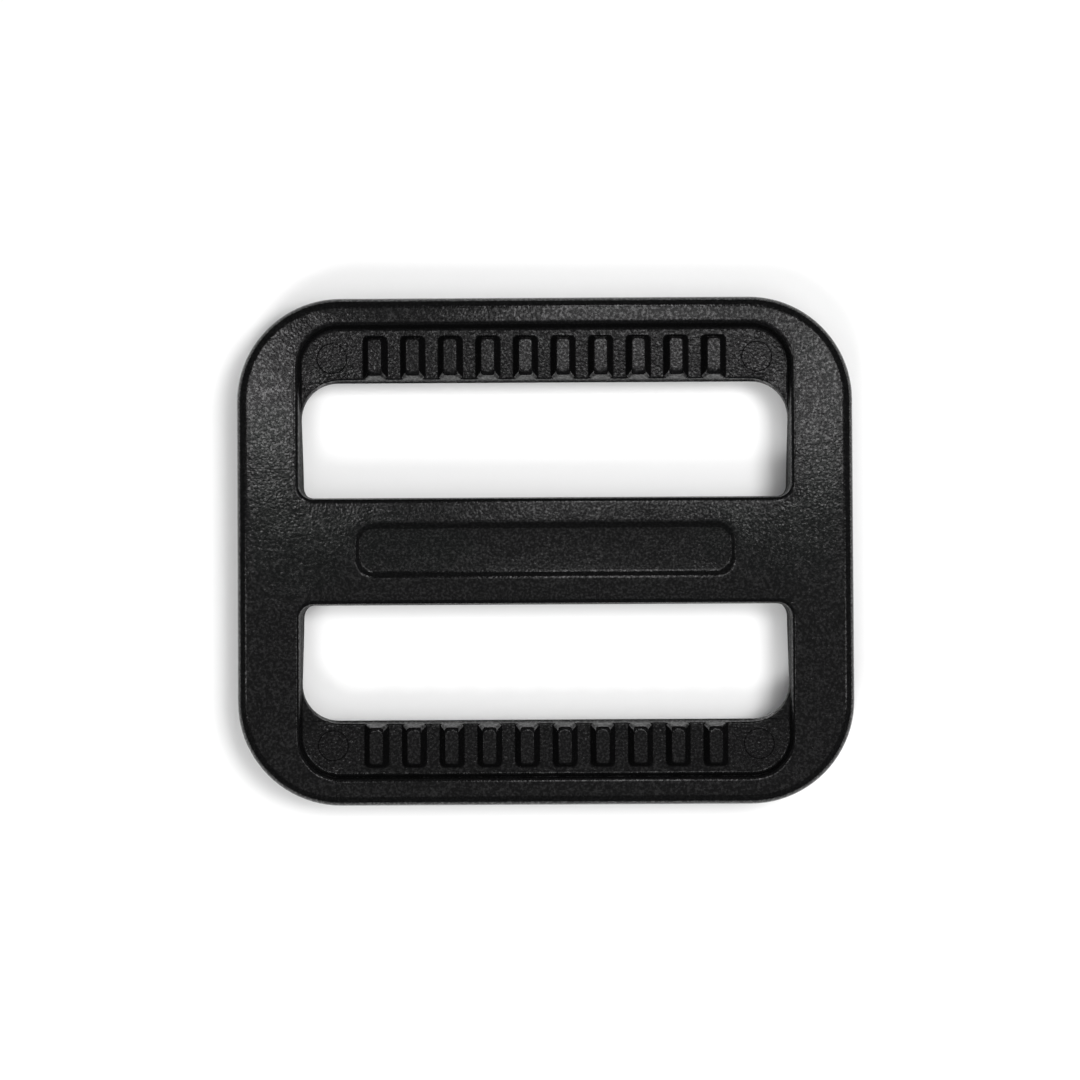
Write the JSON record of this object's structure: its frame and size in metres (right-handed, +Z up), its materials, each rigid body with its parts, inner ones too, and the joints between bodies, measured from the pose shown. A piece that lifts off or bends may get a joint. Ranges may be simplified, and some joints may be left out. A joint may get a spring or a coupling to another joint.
{
  "type": "webbing slider",
  "caption": "Rounded rectangular tri-glide webbing slider: a centre bar between two slots, with sunk ribbed grip shelves on the outer bars and a blank label panel.",
  "frame": {"origin": "on the resting surface, under the middle of the centre bar, which is also the middle of the outline", "axes": "+Z up out of the ribbed face, +X across the webbing along the centre bar, +Y along the webbing"},
  "size_m": [0.0516, 0.0426, 0.0055],
  "materials": {
    "black_plastic": "black acetal with a fine spark-eroded grain on the faces and smooth slot walls"
  },
  "bodies": {
    "root": {"slider_body": "black_plastic"}
  },
  "joints": []
}
